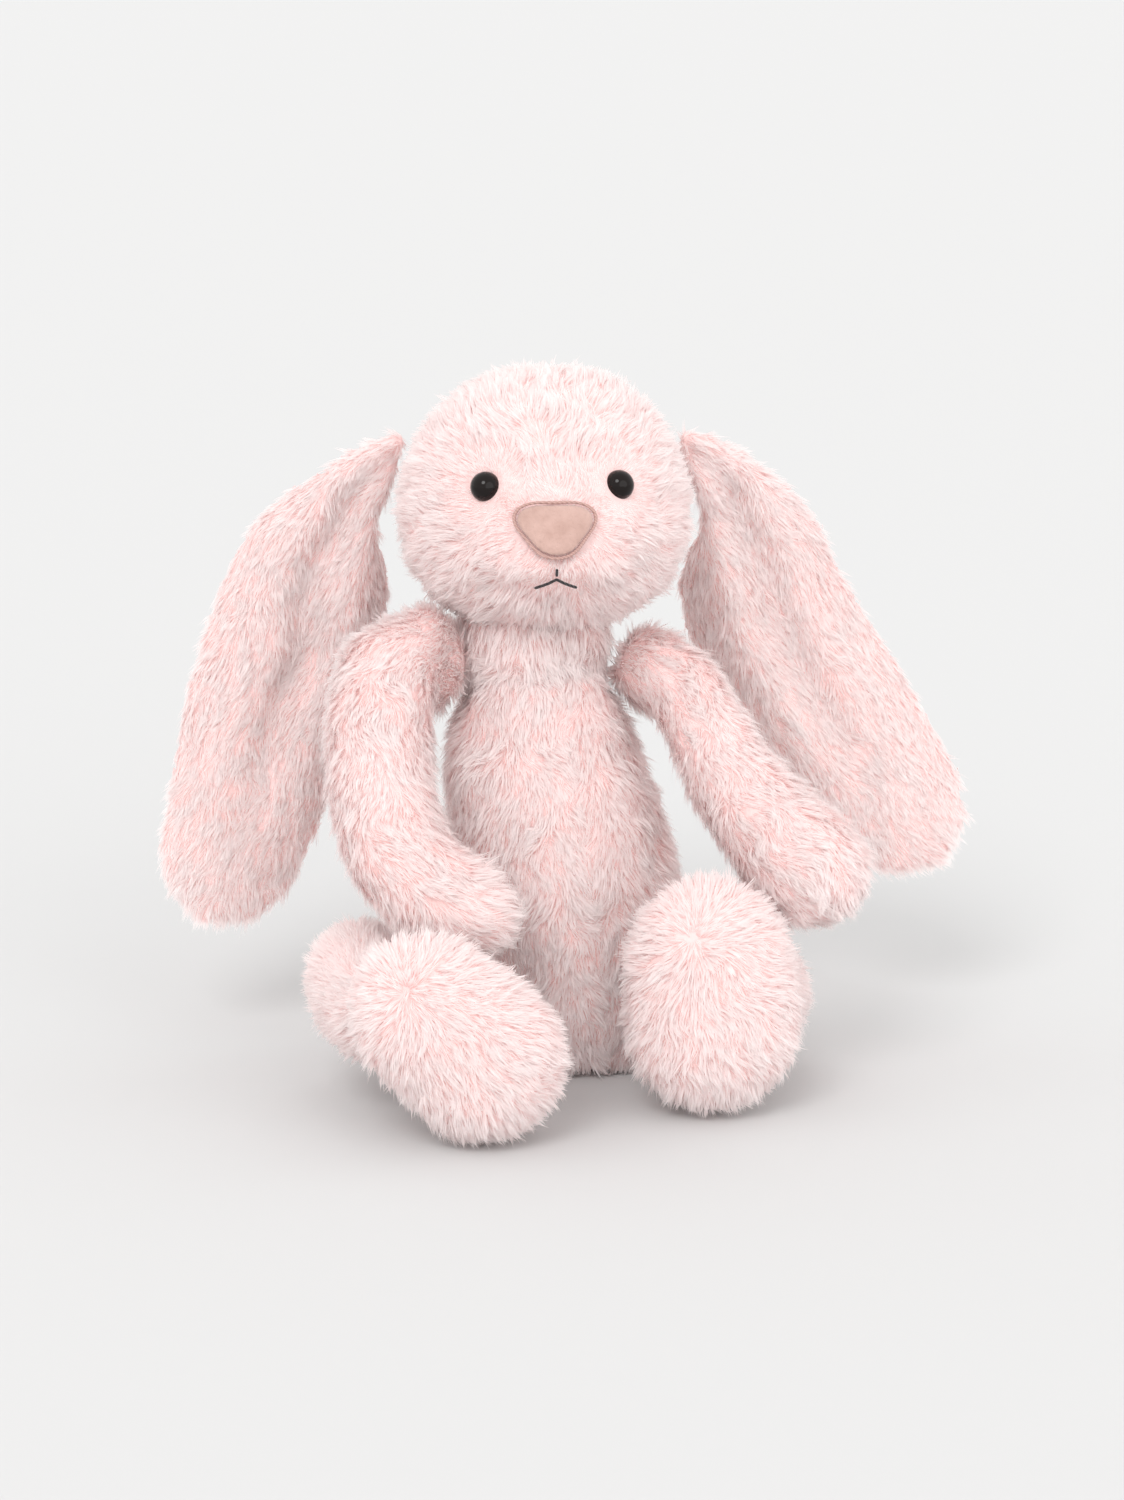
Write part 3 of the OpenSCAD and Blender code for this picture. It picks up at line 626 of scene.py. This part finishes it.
def face_proud(points):
    """The backing comes up to the surface where the nose, eyes and mouth are sewn on."""
    near = nearness(points, nose_place, (0.017, 0.02, 0.012), 4)
    near = np.maximum(near, nearness(points, mouth_place, (0.013, 0.02, 0.008), 4))
    for eye in eye_places:
        near = np.maximum(near, nearness(points, eye, 0.011, 4))
    return 0.8 * near


head_skin = stuffed("head_skin", "head", ["head_cover", "head_filling"], proud=face_proud,
                    fuller=lip_fold)
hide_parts("head_cover")
head_place = middle_of("head_cover")


def face_comb(points, out):
    way = points - nose_place
    way = way - out * (way * out).sum(axis=1, keepdims=True)
    way = unit_rows(way)
    for eye in eye_places:
        push = points - eye
        far = np.linalg.norm(push, axis=1, keepdims=True)
        way = way + unit_rows(push) * 1.6 * np.exp(-(far / 0.011) ** 2)
    back = np.clip((points[:, 1:2] - head_place[1]) / 0.02, 0, 1)
    return way * (1 - back) + np.array([0, 0.1, -1.0]) * back


def face_trim(points, out):
    keep = np.ones(len(points))
    for eye in eye_places:
        far = np.linalg.norm(points - eye, axis=1)
        keep = np.minimum(keep, np.where(far < 0.0048, 0, 0.3 + 0.7 * np.clip((far - 0.0048) / 0.011, 0, 1)))
    far = np.linalg.norm((points - nose_place) / np.array([0.0122, 0.03, 0.0078]), axis=1)
    keep = np.minimum(keep, np.where(far < 0.92, 0, 0.38 + 0.62 * np.clip((far - 0.92) / 1.1, 0, 1)))
    far = np.linalg.norm((points - mouth_place) / np.array([0.0078, 0.03, 0.0030]), axis=1)
    return np.minimum(keep, np.where(far < 0.55, 0.0, 0.35 + 0.65 * np.clip((far - 0.55) / 1.6, 0, 1)))


# Hair tips pinker along the fold between muzzle and chin, as painted shade in that crease, and pinker round
# the nose and above each eye.
def face_pink_and_fold_shade(points):
    pink = 0.5 * np.exp(-(lip_gap(points) / 0.0022) ** 2)
    pink += 0.25 * nearness(points, nose_place, (0.018, 0.02, 0.012), 4)
    for eye in eye_places:
        brow = eye + np.array([math.copysign(0.003, eye[0] - nose_place[0]), 0.002, 0.009])
        pink += 0.9 * nearness(points, brow, (0.0084, 0.006, 0.0048), 2)
    return pink


pile("head_pile", head_skin, face_comb, 61, length=0.007, trim=face_trim, tint_and_painted_light_at=face_pink_and_fold_shade,
     under=("torso_skin",))


# ---------------------------------------------------------------- ears
# Each ear is two panels of plush sewn round their edge and folded at the root.
# The pile runs down the ear, shorter and flatter than on the body.
def slice_middles(points):
    """Middles of level slices of a hanging piece, from its top down."""
    levels = np.linspace(points[:, 2].max(), points[:, 2].min(), 13)
    return np.array([points[(points[:, 2] >= low) & (points[:, 2] <= high)].mean(axis=0)
                     for low, high in zip(levels[1:], levels[:-1])])


def ear_fold(middles, side):
    """The ear's fold: a hollow that runs down from the root, with a rounded edge towards the head."""
    top, bottom = middles[0, 2], middles[-1, 2]

    def place_in_ear(points):
        up = np.clip((points[:, 2] - bottom) / (top - bottom), 0, 1)
        over = (points[:, 0] - np.interp(points[:, 2], middles[::-1, 2], middles[::-1, 0])) * -side
        return up, over

    def shaped(points):
        up, over = place_in_ear(points)
        fade = np.clip((up - 0.12) / 0.35, 0, 1) * np.clip((1 - up) / 0.12, 0, 1)
        hollow = 0.006 * np.exp(-((over - 0.002) / 0.007) ** 2)
        edge = 0.005 * np.exp(-((over - 0.019) / 0.009) ** 2)
        return np.stack([np.zeros(len(points)), (hollow - edge) * fade, np.zeros(len(points))], axis=1)

    # Hair tips pinker in the hollow of the fold and along the edge by the head, as painted shade in those
    # creases, and paler over the whole ear, as painted light against the shade it lies in.
    def backing_mottle_and_ear_shade(points):
        up, over = place_in_ear(points)
        high = np.clip((up - 0.12) / 0.35, 0, 1)
        fold, inner = np.exp(-((over - 0.002) / 0.006) ** 2), np.exp(-((over - 0.022) / 0.006) ** 2)
        return (0.7 * fold + 0.5 * inner) * high - 0.3
    return shaped, backing_mottle_and_ear_shade


ear_middles, ear_painted_light_and_shade, ear_skins = {}, {}, {}
for side, name in ((-1, "right_ear"), (1, "left_ear")):
    ear_points = np.array([v.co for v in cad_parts[name + "_back"].data.vertices])
    ear_middles[name] = slice_middles(ear_points)
    shaped, ear_painted_light_and_shade[name] = ear_fold(ear_middles[name], side)
    ear_skins[name] = stuffed(name + "_skin", name, [name + "_back", name + "_front"], voxel=0.0025,
                              sunk=0.0024, thin=True, fuller=shaped)

ear_style = dict(length=0.0062, lift=0.3, lay=0.82, tousle=0.3, under=("head_skin",))
for name, seed in (("right_ear", 71), ("left_ear", 81)):
    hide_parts(name + "_back", name + "_front")
    pile(name + "_pile", ear_skins[name], route_comb(ear_middles[name]), seed, tint_and_painted_light_at=ear_painted_light_and_shade[name],
         **ear_style)

# ---------------------------------------------------------------- tail
# The tail is a round ball of plush, its pile standing out all over.
tail_skin = stuffed("tail_skin", "torso", ["tail_cover", "tail_filling"])
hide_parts("tail_cover")


def tail_comb(points, out):
    return np.tile([0.0, 0.3, -1.0], (len(points), 1))


pile("tail_pile", tail_skin, tail_comb, 91, length=0.0105, lift=0.85, lay=0.35, tousle=0.9,
     under=("torso_skin",))

# ---------------------------------------------------------------- torso pile
# The torso's pile is brushed down once the head and arms are sewn on, and grows on none of the cloth
# inside them. Along the front seam the short hairs part, and the pinker backing shows; the hair tips
# there are tinted pinker as painted shade in the parting.
def downwards(points, out):
    return np.tile([0.0, 0.0, -1.0], (len(points), 1)) + out * 0.1


def seam_gap(points):
    """How far a place on the front of the torso is from its middle seam."""
    up = np.clip(points[:, 2] / 0.139, 0, 1)
    return points[:, 0] - (0.004 - 0.016 * up ** 1.15)


def torso_comb(points, out):
    pull = -seam_gap(points) / 0.004 * np.exp(-(seam_gap(points) / 0.005) ** 2) * (points[:, 1] < 0)
    return downwards(points, out) + pull[:, None] * np.array([0.8, 0, 0])


# Hair tips pinker along the front seam: painted shade in its parting.
def seam_painted_shade(points):
    return 0.9 * np.exp(-(seam_gap(points) / 0.002) ** 2) * (points[:, 1] < 0)


def torso_trim(points, out):
    return 1 - 0.4 * np.exp(-(seam_gap(points) / 0.0016) ** 2) * (points[:, 1] < 0)


pile("torso_pile", torso_skin, torso_comb, 11, tint_and_painted_light_at=seam_painted_shade, trim=torso_trim,
     under=("head_skin", "right_arm_skin", "left_arm_skin"))

# ---------------------------------------------------------------- eyes
# Each eye is a turned dome of glossy black-brown plastic on a shank, held by a washer inside.
eye_gloss, nodes, links, shader = finish_material("eye_plastic", 0.05, Specular_IOR_Level=0.22)
depth = nodes.new("ShaderNodeTexNoise")
depth.inputs["Scale"].default_value = 120
brown = nodes.new("ShaderNodeValToRGB")
brown.color_ramp.elements[0].color = (0.004, 0.003, 0.003, 1)
brown.color_ramp.elements[1].color = (0.011, 0.006, 0.005, 1)
links.new(depth.outputs["Fac"], brown.inputs["Fac"])
links.new(brown.outputs["Color"], shader.inputs["Base Color"])
for node in ("right_eye", "left_eye"):
    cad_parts[node].data.materials.clear()
    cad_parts[node].data.materials.append(eye_gloss)

# ---------------------------------------------------------------- nose
# The nose is a padded patch of pink suede, held by a row of thread stitched round its edge.
suede, nodes, links, shader = finish_material("nose_suede", 0.85, Sheen_Weight=0.35)
place = nodes.new("ShaderNodeTexCoord")
nap, wear = nodes.new("ShaderNodeTexNoise"), nodes.new("ShaderNodeTexNoise")
nap.inputs["Scale"].default_value, nap.inputs["Detail"].default_value = 950, 5
wear.inputs["Scale"].default_value, wear.inputs["Detail"].default_value = 220, 3
tone, raised = nodes.new("ShaderNodeValToRGB"), nodes.new("ShaderNodeBump")
tone.color_ramp.elements[0].position, tone.color_ramp.elements[1].position = 0.3, 0.72
tone.color_ramp.elements[0].color = (0.47, 0.295, 0.25, 1)
tone.color_ramp.elements[1].color = (0.57, 0.375, 0.325, 1)
raised.inputs["Strength"].default_value, raised.inputs["Distance"].default_value = 0.8, 0.0007
for node in (nap, wear):
    links.new(place.outputs["Object"], node.inputs["Vector"])
links.new(wear.outputs["Fac"], tone.inputs["Fac"])
links.new(tone.outputs["Color"], shader.inputs["Base Color"])
links.new(nap.outputs["Fac"], raised.inputs["Height"])
links.new(raised.outputs["Normal"], shader.inputs["Normal"])


def smoother_copy(name, node, body, material):
    """A finer copy of a CAD piece, that stands for it."""
    piece = bpy.data.objects.new(name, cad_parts[node].data.copy())
    bpy.context.collection.objects.link(piece)
    weld = piece.modifiers.new("weld", "WELD")
    weld.merge_threshold = 0.00002
    finer = piece.modifiers.new("finer", "SUBSURF")
    finer.levels = 1
    made(piece)
    piece.data.materials.clear()
    piece.data.materials.append(material)
    piece.data.shade_smooth()
    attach(piece, body)
    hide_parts(node)
    return piece


nose = smoother_copy("nose", "nose_patch", "head", suede)

# ---------------------------------------------------------------- threads
# Twisted thread: darker pink round the nose, black for the mouth.
def thread_material(name, dark, light):
    material, nodes, links, shader = finish_material(name, 0.6, Sheen_Weight=0.2)
    place, twist = nodes.new("ShaderNodeTexCoord"), nodes.new("ShaderNodeTexWave")
    twist.inputs["Scale"].default_value = 420
    twist.bands_direction = "DIAGONAL"
    tone, raised = nodes.new("ShaderNodeValToRGB"), nodes.new("ShaderNodeBump")
    tone.color_ramp.elements[0].color, tone.color_ramp.elements[1].color = dark, light
    raised.inputs["Strength"].default_value, raised.inputs["Distance"].default_value = 0.7, 0.0003
    links.new(place.outputs["Object"], twist.inputs["Vector"])
    links.new(twist.outputs["Fac"], tone.inputs["Fac"])
    links.new(tone.outputs["Color"], shader.inputs["Base Color"])
    links.new(twist.outputs["Fac"], raised.inputs["Height"])
    links.new(raised.outputs["Normal"], shader.inputs["Normal"])
    return material


pink_thread = thread_material("nose_thread", (0.44, 0.25, 0.22, 1), (0.56, 0.35, 0.31, 1))
black_thread = thread_material("mouth_thread", (0.008, 0.006, 0.007, 1), (0.03, 0.026, 0.028, 1))
nose_edge = smoother_copy("nose_edge", "nose_edge_thread", "head", pink_thread)
mouth = smoother_copy("mouth", "mouth_thread", "head", black_thread)

# ---------------------------------------------------------------- neck
# The head is sewn to the torso through a short collar of plush round a ball of filling.
neck_place = middle_of("neck_filling")
collar_rows, collar_turns = 9, 40
collar_half, collar_high, collar_belly = 0.0205, 0.022, 0.0015
points, faces = [], []
for i in range(collar_rows):
    f = i / (collar_rows - 1)
    half = collar_half + collar_belly * math.sin(math.pi * f)
    for j in range(collar_turns):
        turn = 2 * math.pi * j / collar_turns
        x, y = half * 1.05 * math.cos(turn), half * 0.95 * math.sin(turn)
        points.append((neck_place[0] + x, neck_place[1] + y, neck_place[2] + collar_high * (f - 0.5)))
for i in range(collar_rows - 1):
    for j in range(collar_turns):
        a, b = i * collar_turns + j, i * collar_turns + (j + 1) % collar_turns
        faces.append((a, b, b + collar_turns, a + collar_turns))
collar = plain_mesh("collar", points, faces, "neck")
collar.data.materials.append(plush_backing)
pile("collar_pile", collar, downwards, 101, length=0.008)

# ---------------------------------------------------------------- filling, pouch, beads, washers and label
# Polyester fibre fills the plush, tinted by the pile round it. A pouch of beads weighs down the seat,
# a plastic washer holds each eye's shank, and a blank satin label is sewn in at the back.
def mottled(name, low, high, size, rough, bump=0.0003, **fixed):
    material, nodes, links, shader = finish_material(name, rough, **fixed)
    place, grain = nodes.new("ShaderNodeTexCoord"), nodes.new("ShaderNodeTexNoise")
    grain.inputs["Scale"].default_value, grain.inputs["Detail"].default_value = size, 6
    tone, raised = nodes.new("ShaderNodeValToRGB"), nodes.new("ShaderNodeBump")
    tone.color_ramp.elements[0].position, tone.color_ramp.elements[1].position = 0.3, 0.7
    tone.color_ramp.elements[0].color, tone.color_ramp.elements[1].color = low, high
    raised.inputs["Distance"].default_value = bump
    links.new(place.outputs["Object"], grain.inputs["Vector"])
    links.new(grain.outputs["Fac"], tone.inputs["Fac"])
    links.new(tone.outputs["Color"], shader.inputs["Base Color"])
    links.new(grain.outputs["Fac"], raised.inputs["Height"])
    links.new(raised.outputs["Normal"], shader.inputs["Normal"])
    return material


fibre = mottled("stuffing_fibre", (0.76, 0.66, 0.65, 1), (0.84, 0.75, 0.74, 1), 500, 0.95, 0.0008)
pouch_cloth = mottled("pouch_cloth", (0.74, 0.73, 0.70, 1), (0.84, 0.83, 0.80, 1), 1400, 0.85)
bead_plastic = mottled("bead_plastic", (0.80, 0.80, 0.76, 1), (0.87, 0.87, 0.84, 1), 80, 0.35, 0.00005)
washer_plastic = mottled("washer_plastic", (0.82, 0.82, 0.80, 1), (0.88, 0.88, 0.86, 1), 90, 0.4, 0.00005)
satin = mottled("label_satin", (0.84, 0.83, 0.81, 1), (0.90, 0.89, 0.88, 1), 1800, 0.38, 0.00008,
                Sheen_Weight=0.3)
corner_points = np.array([v.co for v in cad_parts["care_label"].data.vertices])
corner_points = np.unique(corner_points.round(6), axis=0)
corner_points = corner_points[np.argsort(corner_points[:, 2])]
label_foot, label_top = corner_points[:4].mean(axis=0), corner_points[4:].mean(axis=0)
sides = [(a, b) for a in corner_points[4:] for b in corner_points[4:]]
left, right = max(sides, key=lambda pair: np.linalg.norm(pair[0] - pair[1]))
broad = (right - left) / np.linalg.norm(right - left)
down = (label_foot - label_top) / np.linalg.norm(label_foot - label_top)
off = np.cross(broad, down)
off *= 1 if off[1] > 0 else -1
label_size, label_rows, label_columns = (0.014, 0.022), 17, 11
points = [label_top + down * label_size[1] * u + broad * label_size[0] * (v - 0.5)
          + off * (0.0035 * u * u + 0.0008 * math.sin(5 * u) * math.cos(3 * v))
          for u in np.linspace(0, 1, label_rows) for v in np.linspace(0, 1, label_columns)]
faces = []
for i in range(label_rows - 1):
    for j in range(label_columns - 1):
        a = i * label_columns + j
        faces.append((a, a + 1, a + label_columns + 1, a + label_columns))
care_label = plain_mesh("care_label_cloth", points, faces, "torso")
thick = care_label.modifiers.new("thick", "SOLIDIFY")
thick.thickness, thick.offset = 0.0004, 0
care_label.data.materials.append(satin)
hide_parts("care_label")
for node, made_of in (("bead_pouch", pouch_cloth), ("bead_filling", bead_plastic),
                      ("right_eye_washer", washer_plastic), ("left_eye_washer", washer_plastic)):
    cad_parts[node].data.materials.clear()
    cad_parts[node].data.materials.append(made_of)
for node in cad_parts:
    if node.endswith("_filling") and node != "bead_filling":
        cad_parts[node].data.materials.clear()
        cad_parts[node].data.materials.append(fibre)
